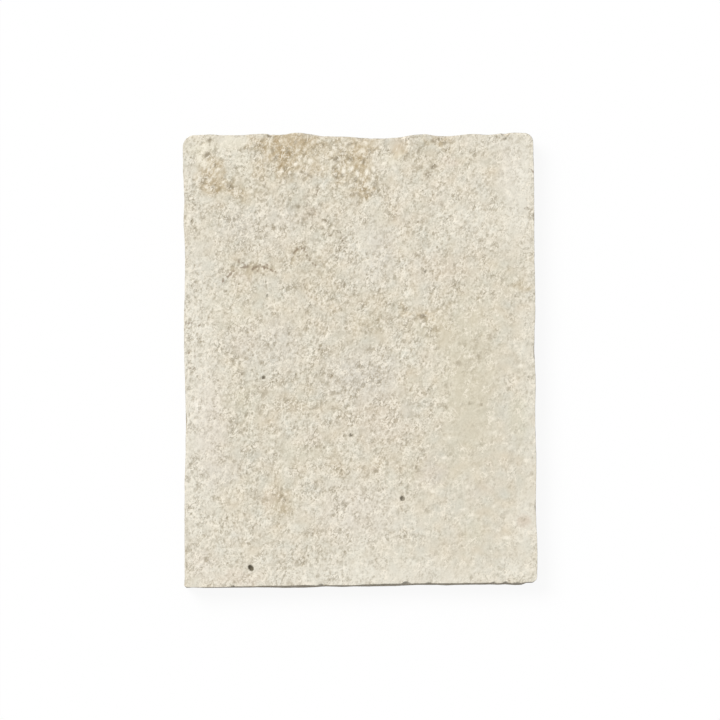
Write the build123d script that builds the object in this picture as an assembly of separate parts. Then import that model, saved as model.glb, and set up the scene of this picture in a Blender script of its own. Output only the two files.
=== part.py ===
from build123d import *
import os

# A weathered limestone paving slab, sawn from the block as one piece of stone.
# Millimetres. It lies on its bed face with the walking face up (+Z). The origin is the middle of the bed face,
# +X runs across the width and +Y towards the far edge, the one that wear has eaten into most.

# Sawn size of the slab, before any wear
WIDTH = 400.0
LENGTH = 517.0
THICKNESS = 30.0

# The near saw cut runs out of square: its right end is set in by this much
NEAR_SKEW = 2.1

# Rounding that tumbling has left on the four upright corners
FAR_LEFT_CORNER = 14.0
FAR_RIGHT_CORNER = 11.0
NEAR_LEFT_CORNER = 2.0
NEAR_RIGHT_CORNER = 6.0

# Round on the arris of the walking face, and the small break that the saw left on the arris of the bed face
FACE_ARRIS = 1.6
BED_ARRIS = 0.8

# How far each edge is worn in from its sawn line: (share of the way along the edge, depth).
# Shares run from left to right and from near to far. The near edge keeps its straight saw cut.
FAR_WEAR = (
    (0.0, 3.0), (0.09, 1.3), (0.16, 2.1), (0.245, 1.2), (0.275, 1.9), (0.318, 0.0), (0.385, 3.2), (0.45, 4.5),
    (0.535, 6.8), (0.605, 6.4), (0.685, 2.7), (0.75, 4.9), (0.835, 2.8), (0.865, 3.6), (0.925, 1.8), (1.0, 4.5),
)
LEFT_WEAR = (
    (0.0, 0.2), (0.14, 0.2), (0.26, 1.0), (0.36, 2.3), (0.46, 1.4), (0.56, 0.7),
    (0.68, 2.0), (0.76, 2.0), (0.81, 0.9), (0.86, 1.7), (0.92, 0.6), (1.0, 1.6),
)
RIGHT_WEAR = (
    (0.0, 1.0), (0.085, 0.2), (0.165, 1.4), (0.27, 0.3), (0.376, 1.2), (0.455, 0.2),
    (0.51, 1.5), (0.60, 0.1), (0.70, 0.2), (0.80, 0.3), (0.90, 0.1), (1.0, 0.8),
)

# Chips knocked out of the arris of the walking face: (edge, share of the way along it, length, depth)
CHIPS = (
    ("far", 0.245, 7.0, 2.4),
    ("far", 0.40, 30.0, 2.0),
    ("far", 0.53, 34.0, 2.2),
    ("far", 0.745, 34.0, 2.4),
    ("far", 0.925, 9.0, 2.8),
    ("left", 0.255, 14.0, 1.7),
    ("left", 0.36, 30.0, 1.9),
    ("left", 0.86, 18.0, 1.8),
    ("right", 0.17, 16.0, 1.8),
    ("right", 0.51, 22.0, 1.9),
    ("right", 0.815, 12.0, 2.2),
    ("near", 0.138, 7.0, 1.7),
    ("near", 0.388, 9.0, 2.0),
    ("near", 0.63, 12.0, 2.4),
    ("near", 0.88, 8.0, 1.8),
    ("near", 0.945, 14.0, 2.2),
)

# Thin flakes split off the walking face at an edge: (edge, share of the way along it, length, reach, depth)
FLAKES = (
    ("far", 0.135, 38.0, 13.0, 1.6),
    ("far", 0.61, 28.0, 19.0, 1.8),
)

# Open pits in the walking face:
# (share across the width, share up the length, length, width, depth, turn in degrees)
PITS = (
    (0.187, 0.040, 8.2, 5.8, 3.6, -52.0),
    (0.619, 0.190, 6.2, 5.6, 3.0, -30.0),
    (0.227, 0.458, 3.6, 3.0, 2.2, 80.0),
    (0.474, 0.330, 4.0, 2.8, 1.8, -40.0),
    (0.689, 0.690, 2.8, 2.4, 1.6, 90.0),
    (0.237, 0.639, 2.8, 2.2, 1.6, 80.0),
    (0.919, 0.982, 4.4, 2.6, 1.6, 50.0),
    (0.179, 0.501, 4.6, 3.6, 1.2, 20.0),
    (0.165, 0.467, 4.4, 3.6, 1.1, -25.0),
    (0.222, 0.491, 4.2, 3.4, 1.1, 35.0),
)

# The way each edge faces
OUTWARD = {"near": Vector(0, -1), "far": Vector(0, 1), "left": Vector(-1, 0), "right": Vector(1, 0)}


def worn_line(name, wear, start, end):
    """A smooth line from start to end, set in at each share of the way by the depth of wear there."""
    return Spline([start + (end - start) * share - OUTWARD[name] * depth for share, depth in wear])


def slab_edges():
    """The four edges of the walking face in plan, by name. They meet at the corners."""
    left_x, right_x = -WIDTH / 2, WIDTH / 2
    near_y, far_y = -LENGTH / 2, LENGTH / 2
    far_left_y = far_y - FAR_WEAR[0][1]
    far_right_y = far_y - FAR_WEAR[-1][1]
    far_left_x = left_x + LEFT_WEAR[-1][1]
    far_right_x = right_x - RIGHT_WEAR[-1][1]
    left = worn_line("left", LEFT_WEAR, Vector(left_x, near_y), Vector(left_x, far_left_y))
    right = worn_line("right", RIGHT_WEAR, Vector(right_x, near_y + NEAR_SKEW), Vector(right_x, far_right_y))
    far = worn_line("far", FAR_WEAR, Vector(far_left_x, far_y), Vector(far_right_x, far_y))
    near = Line(left @ 0, right @ 0)
    return {"near": near, "right": right, "far": far, "left": left}


def round_corners(solid, edges):
    """Rounds each upright corner, at the end of the left or the right edge, by its own amount of wear."""
    corners = (
        (edges["left"] @ 0, NEAR_LEFT_CORNER),
        (edges["left"] @ 1, FAR_LEFT_CORNER),
        (edges["right"] @ 0, NEAR_RIGHT_CORNER),
        (edges["right"] @ 1, FAR_RIGHT_CORNER),
    )
    for corner, radius in corners:
        upright = solid.edges().filter_by(Axis.Z).sort_by_distance(corner)[0]
        solid = fillet(upright, radius)
    return solid


def chip(edges, name, share, length, depth):
    """The ball whose cap is a chip of that length and depth, set half-way between the face and the side."""
    radius = (length * length / 4 + depth * depth) / (2 * depth)
    arris_point = edges[name] @ share + Vector(0, 0, THICKNESS)
    slant = (OUTWARD[name] + Vector(0, 0, 1)).normalized()
    return Pos(*(arris_point + slant * (radius - depth))) * Sphere(radius)


def flake(edges, name, share, length, reach, depth):
    """The ball whose cap is a flake. It meets the face in a circle that crosses the edge over that length and
    reaches that far in from it, and it goes to that depth under the middle of the circle."""
    circle = (length * length / 4 + reach * reach) / (2 * reach)
    radius = (circle * circle + depth * depth) / (2 * depth)
    middle = edges[name] @ share + OUTWARD[name] * (circle - reach)
    return Pos(*(middle + Vector(0, 0, THICKNESS + radius - depth))) * Sphere(radius)


def pit(share_x, share_y, length, width, depth, turn):
    """The egg-shaped hollow of one open pit, sunk from the walking face."""
    place = Pos((share_x - 0.5) * WIDTH, (share_y - 0.5) * LENGTH, THICKNESS)
    return place * Rot(0, 0, turn) * scale(Sphere(1), by=(length / 2, width / 2, depth))


def limestone_slab():
    """The sawn block, with its corners and arrises worn round and its chips, flakes and pits taken out."""
    edges = slab_edges()
    block = extrude(make_face(list(edges.values())), THICKNESS)
    block = round_corners(block, edges)
    block = fillet(block.faces().sort_by(Axis.Z)[-1].outer_wire().edges(), FACE_ARRIS)
    block = chamfer(block.faces().sort_by(Axis.Z)[0].outer_wire().edges(), BED_ARRIS)
    chips = [chip(edges, *row) for row in CHIPS]
    flakes = [flake(edges, *row) for row in FLAKES]
    pits = [pit(*row) for row in PITS]
    return block - chips - flakes - pits


slab = limestone_slab()
os.makedirs("parts", exist_ok=True)
export_step(slab, "parts/limestone_slab.step")
print("volume", round(slab.volume), "mm3, faces", len(slab.faces()), "size", slab.bounding_box().size)
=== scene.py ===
"""The look of a weathered limestone paving slab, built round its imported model.

Shapes are worked out in millimetres, in the model's own frame: the bed face lies on z = 0, +X runs across
the width and +Y towards the worn far edge. They go to Blender in metres. Marks on the walking face are
written where the 720 by 720 picture shows them, in pixels from its top left corner, and on_face turns them
into millimetres.
"""
import itertools
import math

import bpy
import numpy as np
from mathutils import Euler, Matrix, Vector


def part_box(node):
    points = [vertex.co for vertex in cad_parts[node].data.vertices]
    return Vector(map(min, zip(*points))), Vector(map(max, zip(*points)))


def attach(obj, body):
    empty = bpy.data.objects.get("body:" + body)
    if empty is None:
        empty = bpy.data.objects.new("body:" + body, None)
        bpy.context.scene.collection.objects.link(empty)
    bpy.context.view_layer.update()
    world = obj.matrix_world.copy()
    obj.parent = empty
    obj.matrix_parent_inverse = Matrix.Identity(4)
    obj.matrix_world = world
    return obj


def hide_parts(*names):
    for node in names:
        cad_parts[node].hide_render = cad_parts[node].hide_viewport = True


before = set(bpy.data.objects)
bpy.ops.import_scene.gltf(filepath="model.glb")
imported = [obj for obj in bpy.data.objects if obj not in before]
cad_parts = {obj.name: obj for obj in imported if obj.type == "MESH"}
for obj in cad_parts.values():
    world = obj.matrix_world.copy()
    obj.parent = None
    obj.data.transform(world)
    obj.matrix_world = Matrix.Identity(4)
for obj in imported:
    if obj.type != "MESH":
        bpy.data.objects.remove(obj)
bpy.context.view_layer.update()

MM = 0.001
NODE = "limestone_slab"

# Size of the solid, in millimetres
LOW, HIGH = (np.array(corner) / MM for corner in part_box(NODE))
WIDTH, LENGTH, THICKNESS = HIGH - LOW
BED_ARRIS = 0.8

# Camera
PICTURE = 720
SLAB_PIXELS_WIDE = 352.6
SLAB_CENTRE_PIXEL = (359.6, 358.0)
TILT = math.radians(5.8)
TURN = math.radians(0.40)
LENS = 440.0
SENSOR = 36.0
MM_PER_PIXEL = WIDTH / SLAB_PIXELS_WIDE

# Light and floor: the key and the sky together light a level face with a strength of 1, and the floor throws
# back its share of it
KEY_SHARE = 0.52
SKY_SHARE = 0.48
KEY_HEIGHT = math.radians(50)
KEY_BEARING = math.radians(140)
KEY_SPREAD = math.radians(35)
FLOOR_WHITE = 0.09
FLOOR_SIZE = 40.0

# Grid of the walking face, and rows of the band that goes round the slab from the face to the bed
FACE_COLUMNS = 240
FACE_ROWS = 310
ARRIS_ROWS = 5
SIDE_ROWS = 12
BED_RINGS = (0.95, 0.5)
FACE_BAND_ROWS = 2

# The grid's lines crowd at the edges and at the large pits: how much denser they are, and over what distance
LARGE_PITS = 2
CROWD_EXTRA = 1.2
CROWD_REACH = 6.0
CROWD_STEPS = 4000

# The worn rim's pull on the face dies out over this distance. At a corner, values ease from edge to edge over
# this many points each way, and the near side's lean ends at this share of the left and right sides.
RIM_FADE = 9.0
CORNER_EASE = 6
LEAN_END = 0.02

# Arris of the walking face before any chip, edge by edge: how far it reaches in, and how rough the edge is
ARRIS_REACH = {"near": 0.6, "right": 0.45, "far": 1.6, "left": 0.8}
EDGE_ROUGHNESS = {"near": 0.2, "right": 0.4, "far": 0.7, "left": 0.5}

# Unevenness of the arris: its spread, the least share that is left, and the levels of noise that cut nicks.
# A chip that reaches in far enough is flat, not round.
ARRIS_UNEVEN = 0.35
LEAST_ARRIS = 0.3
NICK_LEVELS = (1.0, 2.4)
FLAT_CHIP_REACH = 0.9

# Wear of the sides: its mean, layers of (size, weight, seed), and how much more of it the broken stone has.
# That starts and is full at these depths under the face, and ends between these heights over the bed.
WEAR_MEAN = 0.5
WEAR_LAYERS = ((16.0, 0.3, 41), (6.0, 0.2, 43))
BROKEN_EXTRA = 2
BROKEN_DEPTHS = (2, 9)
BROKEN_HEIGHTS = (0, 4)

# Relief of the walking face: a slow swell, the grain, and how far all of it is sunk
SWELL_SIZE = 85.0
SWELL_HEIGHT = 0.10
GRAIN_RELIEF = 0.15
FACE_SUNK = 0.3
PIT_ROUNDNESS = 0.7

# Chips out of the arris: (edge, share of the way along it from the left or near end, length, reach, drop)
CHIPS = (
    ("far", 0.245, 7.0, 2.8, 3.4),
    ("far", 0.40, 30.0, 2.6, 2.4),
    ("far", 0.53, 34.0, 2.8, 2.6),
    ("far", 0.745, 34.0, 2.8, 2.8),
    ("far", 0.925, 9.0, 3.6, 3.8),
    ("left", 0.255, 14.0, 1.4, 2.4),
    ("left", 0.36, 30.0, 1.6, 2.6),
    ("left", 0.86, 18.0, 1.5, 2.4),
    ("right", 0.17, 16.0, 1.2, 0.3),
    ("right", 0.51, 22.0, 1.2, 0.3),
    ("right", 0.815, 12.0, 1.8, 0.9),
    ("near", 0.138, 5.0, 1.0, 4.0),
    ("near", 0.388, 7.0, 1.5, 5.0),
    ("near", 0.63, 10.0, 2.2, 6.0),
    ("near", 0.695, 6.0, 0.9, 3.0),
    ("near", 0.88, 6.0, 1.3, 4.0),
    ("near", 0.915, 6.0, 1.0, 4.0),
    ("near", 0.945, 10.0, 0.8, 5.0),
)

# How the near side leans:
# (share of the way along it, how far its top stands out, how far its foot is set in)
NEAR_LEAN = (
    (0.0, 0.9, 0.6), (0.02, 1.4, 0.9), (0.05, 1.5, 0.2), (0.12, 1.2, 0.1), (0.20, 0.9, 0.0),
    (0.24, 0.5, -0.2), (0.28, 0.9, -0.8), (0.34, 0.3, -0.9), (0.37, 0.9, -0.6), (0.40, 0.9, 0.3),
    (0.45, 1.0, -0.7), (0.48, 1.3, -0.2), (0.52, 0.4, -0.5), (0.60, -0.1, -0.3), (0.66, 0.0, 0.6),
    (0.72, 0.0, 0.4), (0.745, 0.3, -0.4), (0.78, 0.4, 0.1), (0.87, 0.1, 0.1), (0.89, 1.0, -0.3),
    (0.915, 0.2, 0.0), (0.94, 1.6, -0.9), (0.96, 1.0, -0.7), (0.975, 0.0, 1.5), (1.0, -0.3, 1.5),
)

# Open pits: (x, y, length, width, depth, turn in degrees, dark colour in it: dirt and painted shade)
PITS = (
    (-124.6, -238.0, 8.2, 5.8, 3.6, -52.0, 1.0),
    (47.5, -160.4, 6.2, 5.6, 3.0, -30.0, 0.72),
    (-109.2, -21.5, 3.6, 3.0, 2.2, 80.0, 1.0),
    (-10.4, -87.8, 4.0, 2.8, 1.8, -40.0, 0.9),
    (75.5, 98.1, 2.8, 2.4, 1.6, 90.0, 0.9),
    (-105.1, 72.0, 2.8, 2.2, 1.6, 80.0, 1.0),
    (167.6, 249.2, 4.4, 2.6, 1.6, 50.0, 0.4),
    (-128.4, 0.4, 4.6, 3.6, 1.2, 20.0, 0.0),
    (-134.1, -16.9, 4.4, 3.6, 1.1, -25.0, 0.0),
    (-111.2, -4.5, 4.2, 3.4, 1.1, 35.0, 0.0),
)

# Flakes split off the face at the far edge, in pixels:
# (x, y, half length, half width, turn in degrees, depth)
FLAKES = (
    (396, 143, 12.5, 11, -35, 1.2), (231, 138, 17, 11, 0, 1),
)

# Washes of colour over the face, by kind, in pixels:
# (x, y, half length, half width, turn in degrees, strength)
WASHES = {
    "ochre": (
        (211, 180, 15, 12, 60, 0.66), (225, 186, 15, 9, -12, 0.58), (214, 165, 13, 9, -60, 0.60),
        (238, 194, 10, 6, -25, 0.28), (203, 177, 9, 12, 0, 0.40), (260, 143, 15, 10, -20, 0.75),
        (281, 148, 20, 18, 75, 1.00), (285, 167, 14, 14, 60, 0.70), (306, 143, 26, 12, 0, 0.75),
        (310, 164, 18, 13, -20, 0.50), (257, 164, 11, 8, -30, 0.45), (259, 174, 10, 7, 0, 0.28),
        (303, 156, 9, 7, 0, 0.25), (343, 150, 20, 13, 20, 0.36), (365, 146, 17, 12, -10, 0.55),
        (358, 166, 15, 20, 10, 0.80), (364, 187, 12, 11, 20, 0.70), (350, 192, 12, 6, 10, 0.12),
        (338, 174, 12, 9, 60, 0.58), (439, 140, 15, 8, 5, 0.68), (399, 147, 10, 9, -35, 0.36),
        (424, 316, 12, 4.5, -8, 0.50), (405, 309, 10, 4, -15, 0.40), (522, 286, 9, 6, 0, 0.35),
        (279, 503, 17, 15, -50, 0.30), (258, 268, 34, 6, 0, 0.30), (295, 257, 13, 7, 45, 0.28),
        (322, 277, 25, 24, 0, 0.18), (368, 322, 22, 15, 0, 0.09), (290, 401, 16, 8, -10, 0.15),
        (411, 376, 18, 20, 0, 0.10), (433, 331, 24, 20, 0, 0.14), (424, 160, 18, 13, -40, 0.22),
    ),
    "grey": (
        (340, 168, 14, 11, 50, 0.60), (209, 155, 7, 6, 30, 0.60), (262, 187, 10, 7, 20, 0.45),
        (301, 207, 15, 8, -25, 0.30), (325, 225, 14, 11, -40, 0.30), (340, 243, 14, 6, -80, 0.40),
        (302, 255, 15, 8, 20, 0.50), (424, 160, 18, 13, -40, 0.12), (458, 190, 11, 6, 20, 0.45),
        (250, 268, 28, 6, 5, 0.35), (365, 335, 38, 55, 0, 0.18), (207, 545, 14, 9, -55, 0.40),
        (480, 350, 26, 12, 50, 0.25), (274, 450, 14, 20, 0, 0.20), (326, 452, 36, 15, 0, 0.12),
        (308, 378, 16, 18, 0, 0.12),
    ),
    "olive": (
        (468, 378, 34, 96, 0, 0.85), (437, 330, 26, 24, 0, 0.45), (440, 460, 60, 50, 0, 0.15),
        (240, 305, 40, 25, 0, 0.30),
    ),
    # The pale washes along the rims are painted light that brightens the face at its edges; the rest are
    # paler stone
    "pale": (
        (196, 400, 24, 200, 0, 0.90), (195, 170, 20, 60, 0, 0.50), (228, 140, 18, 12, 0, 1.00),
        (243, 162, 10, 14, 0, 0.90), (518, 180, 23, 80, 0, 1.00), (529, 420, 10, 170, 0, 0.50),
        (524, 520, 16, 30, 0, 0.90), (360, 575, 190, 22, 0, 0.70), (240, 545, 70, 40, 0, 0.20),
        (470, 225, 45, 30, 0, 0.58), (370, 525, 60, 50, 0, 0.45), (362, 240, 28, 60, 0, 0.50),
        (500, 141, 34, 9, 0, 0.80), (203, 482, 16, 20, 0, 0.80), (524, 143, 12, 10, 0, 0.50),
        (480, 195, 20, 18, 0, 0.40), (516, 562, 20, 17, 0, 0.50),
    ),
    "cream": (
        (203, 151, 17, 16, 0, 0.80), (393, 157, 12, 12, 0, 0.55), (231, 142, 17, 9, 0, 0.60),
        (243, 163, 10, 15, 0, 0.55),
    ),
    "lilac": (
        (211, 425, 20, 60, 0, 0.60), (203, 560, 16, 16, 0, 0.50), (240, 341, 18, 18, 0, 0.50),
        (506, 165, 14, 34, 0, 0.25), (352, 512, 46, 36, 0, 0.50),
    ),
    "cool": (
        (362, 374, 44, 32, 0, 0.85), (275, 345, 36, 32, 0, 0.55), (236, 225, 20, 22, 0, 0.60),
        (226, 470, 18, 17, 0, 0.60), (272, 225, 30, 26, 0, 0.45), (380, 252, 16, 34, 0, 0.55),
    ),
    "plum": (
        (431, 473, 14, 19, -25, 0.36), (484, 486, 22, 9, 0, 0.14),
    ),
    "moss": (
        (242, 402, 20, 18, 0, 0.35), (472, 525, 12, 18, 0, 0.40), (300, 450, 32, 11, 0, 0.30),
        (518, 415, 12, 30, 0, 0.50),
    ),
    "pink": (
        (440, 268, 34, 20, 0, 0.34), (380, 420, 45, 30, 0, 0.34), (311, 437, 14, 10, 0, 0.28),
        (400, 218, 12, 22, 0, 0.22), (522, 522, 9, 8, 60, 0.70), (238, 577, 28, 9, 0, 0.50),
        (312, 212, 12, 8, -30, 0.40), (449, 159, 8, 6, 0, 0.50), (242, 276, 14, 6, 0, 0.45),
        (270, 498, 12, 8, 40, 0.40), (398, 144, 10, 8, -35, 0.35), (375, 470, 5, 4, 0, 0.70),
    ),
}

# Dark dots, in pixels: (x, y, radius, strength)
DOTS = (
    (252, 345, 2.5, 0.45), (267, 344, 2.5, 0.7), (288, 343, 1.8, 0.6), (246, 358, 2.2, 0.75),
    (261, 362, 2.2, 0.8), (241, 373, 3.2, 0.8), (271, 381, 2.2, 0.6), (283, 381, 1.8, 0.4),
    (320, 345, 1.7, 0.8), (321, 357, 1.8, 0.5), (289, 371, 2.6, 0.5), (343, 386, 2.0, 0.6),
    (286, 402, 2.6, 0.5), (297, 408, 3.2, 0.5), (235, 416, 3.2, 0.4), (231, 418, 1.8, 0.6),
    (239, 431, 2.0, 0.6), (246, 429, 2.0, 0.5), (263, 394, 4.0, 0.4), (258, 407, 1.6, 0.6),
    (274, 454, 2.2, 0.5), (314, 482, 2.1, 0.7), (322, 481, 2.1, 0.6), (227, 353, 2.3, 0.45),
    (223, 365, 2.0, 0.5), (260, 315, 1.7, 0.6), (422, 316, 3.2, 0.7), (405, 309, 2.4, 0.5),
    (458, 363, 3.0, 0.5), (478, 356, 3.0, 0.4), (490, 336, 3.4, 0.4), (469, 403, 1.6, 0.7),
    (481, 404, 1.7, 0.7), (375, 470, 3.2, 0.6), (413, 447, 1.8, 0.7), (421, 450, 2.4, 0.6),
    (446, 385, 2.5, 0.4), (416, 254, 2.0, 0.7), (422, 268, 1.4, 0.9), (451, 216, 2.1, 0.8),
    (455, 211, 1.9, 0.6), (465, 222, 2.1, 0.7), (461, 227, 2.3, 0.6), (484, 256, 2.3, 0.8),
    (448, 238, 2.1, 0.6), (441, 203, 3.0, 0.5), (428, 173, 3.2, 0.6), (435, 165, 2.6, 0.8),
    (423, 222, 2.0, 0.6), (481, 240, 2.0, 0.6), (454, 264, 1.6, 0.7), (487, 231, 2.1, 0.5),
    (433, 233, 2.3, 0.6), (454, 285, 2.0, 0.5), (493, 292, 2.3, 0.6), (201, 217, 2.1, 0.6),
    (317, 186, 2.6, 0.7), (313, 195, 2.2, 0.5), (266, 204, 2.0, 0.6), (263, 185, 2.1, 0.6),
    (207, 153, 3.2, 0.5), (256, 236, 2.3, 0.5), (343, 284, 2.6, 0.9), (295, 287, 3.0, 0.4),
    (331, 490, 2.1, 0.6), (206, 558, 2.6, 0.6), (295, 561, 2.6, 0.5), (334, 527, 1.8, 0.6),
    (344, 551, 2.0, 0.5), (317, 575, 2.0, 0.5), (264, 571, 2.4, 0.5), (266, 499, 2.4, 0.4),
    (284, 500, 2.4, 0.4), (291, 489, 2.2, 0.4), (401, 490, 1.8, 0.5), (531, 473, 1.9, 0.6),
    (523, 519, 1.4, 0.5), (298, 247, 2.2, 0.6), (304, 247, 2.6, 0.8), (292, 253, 2.2, 0.6),
    (308, 257, 2.2, 0.6), (263, 377, 1.8, 0.5), (350.5, 434.7, 2.3, 0.6), (425, 270, 1.8, 0.6),
    (423, 268, 1.4, 0.5),
)

# Dark strokes, in pixels: (x, y, half length, half width, turn in degrees, strength)
STROKES = (
    (298, 206, 3.4, 1.6, -25, 0.7), (309, 213, 3.2, 1.5, -30, 0.7), (325, 220, 3.8, 1.6, -25, 0.9),
    (321, 227, 3.0, 1.5, -15, 0.8), (329, 234, 3.6, 1.6, -25, 0.9), (338, 231, 3.4, 1.5, -25, 0.8),
    (342, 239, 4.0, 1.7, -75, 1.0), (339, 249, 3.6, 1.6, 70, 0.9), (336, 257, 3.0, 1.5, 65, 0.8),
    (312, 226, 2.4, 1.2, 60, 0.5), (318, 240, 2.6, 1.1, -40, 0.5), (306, 196, 2.6, 1.6, 50, 0.6),
    (254, 143, 3.4, 1.9, -60, 0.4), (260, 145, 2.8, 1.8, 20, 0.3), (272, 149, 3.6, 2.0, 80, 0.5),
    (275, 157, 4.0, 2.0, 70, 0.6), (284, 168, 3.6, 2.0, 75, 0.5), (306, 173, 3.2, 1.9, -30, 0.8),
    (301, 171, 2.4, 1.7, 30, 0.7), (310, 176, 2.6, 1.7, -20, 0.6), (295, 141, 3.0, 1.7, 70, 0.5),
    (336, 158, 4.6, 3.0, 20, 0.8), (350, 158, 3.4, 2.2, -30, 0.7), (335, 175, 3.8, 2.2, -60, 0.7),
    (342, 174, 3.2, 1.9, 60, 0.8), (333, 168, 3.0, 1.9, 80, 0.6), (349, 143, 3.2, 2.0, 20, 0.6),
    (353, 193, 5.0, 1.9, 10, 0.5), (372, 193, 3.4, 2.2, 40, 0.6), (366, 191, 3.0, 2.0, -40, 0.5),
    (375, 184, 3.4, 1.8, 80, 0.5), (360, 182, 3.0, 1.9, -60, 0.5), (342, 153, 3.0, 1.9, 50, 0.6),
    (355, 178, 3.0, 1.8, 75, 0.6), (363, 160, 3.2, 1.9, 70, 0.6), (369, 150, 3.0, 1.8, -50, 0.5),
    (206, 154, 3.6, 2.4, 40, 0.7), (205, 177, 3.4, 2.0, 60, 0.7), (202, 182, 2.8, 1.9, -30, 0.6),
    (230, 186, 4.2, 2.4, -20, 0.7), (214, 164, 2.8, 1.8, -60, 0.6), (212, 186, 3.0, 1.8, 30, 0.6),
    (240, 196, 2.8, 1.7, -40, 0.5), (433, 140, 3.4, 2.0, -30, 0.55), (439, 138, 3.6, 2.0, 10, 0.65),
    (445, 141, 2.8, 2.0, 50, 0.55), (432, 166, 3.4, 2.0, 60, 0.8), (427, 174, 4.2, 2.6, -70, 0.6),
    (418, 150, 3.0, 1.8, 60, 0.5), (425, 156, 2.6, 1.7, -50, 0.6), (389, 150, 5.6, 1.3, -36, 0.5),
    (268.5, 134.5, 2.8, 2.4, 0, 1.0), (209, 139, 2.4, 2.0, 0, 0.7), (508, 134, 2.6, 1.1, 60, 0.7),
    (503, 138, 2.8, 1.0, 20, 0.5), (511, 137, 2.0, 0.9, -45, 0.5), (423, 315, 4.0, 1.5, -8, 0.8),
    (406, 309, 3.2, 1.3, -15, 0.7), (415, 318, 2.6, 1.2, 20, 0.5), (529.5, 208.3, 4.0, 1.1, -10, 0.6),
)

# Pale flecks, in pixels: (x, y, half length, half width, turn in degrees, strength)
FLECKS = (
    (432, 491, 2.3, 1.7, 0, 1.0), (443, 457, 3.0, 1.5, 10, 0.9), (417, 481, 2.0, 1.4, 0, 0.8),
    (507, 537, 4.6, 1.7, 0, 1.0), (467, 486, 2.4, 1.8, 40, 0.7), (498, 529, 2.2, 1.8, 0, 0.9),
    (518, 451, 3.4, 2.0, 30, 0.7), (525, 460, 2.2, 1.8, 0, 0.8), (493, 432, 2.0, 1.7, 0, 0.7),
    (427, 564, 2.2, 1.8, 0, 0.7), (417, 564, 2.6, 1.8, 20, 0.7), (427, 532, 2.6, 2.0, 30, 0.7),
    (409, 546, 2.4, 1.8, 0, 0.7), (462, 509, 3.0, 1.4, 0, 0.7), (470, 530, 2.2, 1.8, 0, 0.7),
    (498, 543, 2.5, 2.0, 0, 0.7), (483, 560, 2.2, 1.8, 0, 0.6), (529, 570, 1.8, 1.6, 0, 0.6),
    (520, 365, 2.5, 2.0, 0, 0.9), (492, 418, 2.4, 2.0, 0, 0.7), (504, 402, 2.7, 2.0, 30, 0.6),
    (508, 192, 6.5, 1.5, -55, 0.9), (518, 157, 3.6, 1.4, 10, 0.9), (504, 168, 4.5, 1.5, -70, 0.6),
    (423, 323, 3.0, 2.2, 40, 0.9), (405, 322, 3.0, 2.2, -20, 0.7), (398, 348, 3.0, 2.0, 30, 0.9),
    (277, 222, 2.8, 1.6, 20, 0.6), (323, 223, 3.0, 1.5, -25, 0.8), (334, 228, 2.8, 1.5, -30, 0.7),
    (331, 240, 3.0, 1.5, 40, 0.7), (346, 243, 3.4, 1.4, -75, 0.7), (335, 247, 3.0, 1.5, 70, 0.8),
    (316, 219, 2.8, 1.5, -20, 0.6), (303, 210, 3.0, 1.5, -25, 0.6), (301, 251, 3.0, 1.6, 30, 0.7),
    (310, 160, 3.2, 2.4, -60, 0.9), (295, 163, 3.0, 2.2, 70, 0.9), (334, 147, 3.2, 2.2, -60, 0.9),
    (343, 170, 4.2, 2.0, 80, 1.0), (338, 165, 3.0, 1.9, -60, 0.9), (351, 168, 3.6, 2.1, 60, 1.0),
    (357, 173, 4.6, 1.9, -75, 1.0), (366, 171, 4.2, 2.1, 80, 1.0), (373, 168, 3.4, 2.0, -60, 1.0),
    (372, 177, 3.8, 1.9, 70, 0.9), (365, 184, 3.2, 2.0, 45, 0.9), (370, 187, 3.0, 1.8, -50, 0.8),
    (348, 161, 2.8, 1.9, 20, 0.7), (360, 150, 3.0, 2.1, 50, 0.8), (365, 142, 3.0, 2.0, -30, 0.7),
    (375, 152, 3.4, 2.0, 60, 0.9), (381, 146, 3.0, 2.0, -45, 0.8), (331, 152, 2.8, 2.0, 40, 0.8),
    (344, 148, 2.8, 1.9, -50, 0.7), (312, 141, 3.0, 2.0, 60, 0.7), (318, 140, 2.6, 1.9, -40, 0.7),
    (296, 150, 2.6, 1.9, 70, 0.6), (304, 149, 2.6, 1.9, 50, 0.7), (299, 157, 2.8, 2.0, -60, 0.7),
    (279, 171, 3.0, 1.9, 30, 0.8), (284, 181, 3.4, 1.8, 50, 0.7), (270, 168, 2.8, 1.9, -30, 0.6),
    (216, 169, 3.0, 2.0, 60, 0.7), (209, 179, 3.0, 2.0, 50, 0.8), (222, 181, 2.8, 1.9, -40, 0.7),
    (235, 191, 3.0, 1.9, 40, 0.7), (206, 186, 2.8, 1.9, -30, 0.7), (268, 151, 2.6, 2.2, 30, 0.7),
    (449, 437, 1.8, 1.6, 0, 0.7), (503, 515, 2.4, 1.7, 20, 0.7), (513, 522, 2.4, 1.6, -30, 0.7),
    (519, 540, 2.8, 1.6, 10, 0.7), (471, 514, 2.6, 1.6, 0, 0.7), (452, 512, 2.4, 1.6, 30, 0.6),
    (493, 506, 2.4, 1.6, 50, 0.6), (526, 508, 1.8, 1.6, 0, 0.6), (481, 523, 2.2, 1.6, -20, 0.6),
    (387, 147, 2.6, 1.8, 60, 0.8), (394, 167, 2.8, 1.8, -40, 0.7), (383, 163, 2.8, 1.8, 50, 0.8),
)

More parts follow.
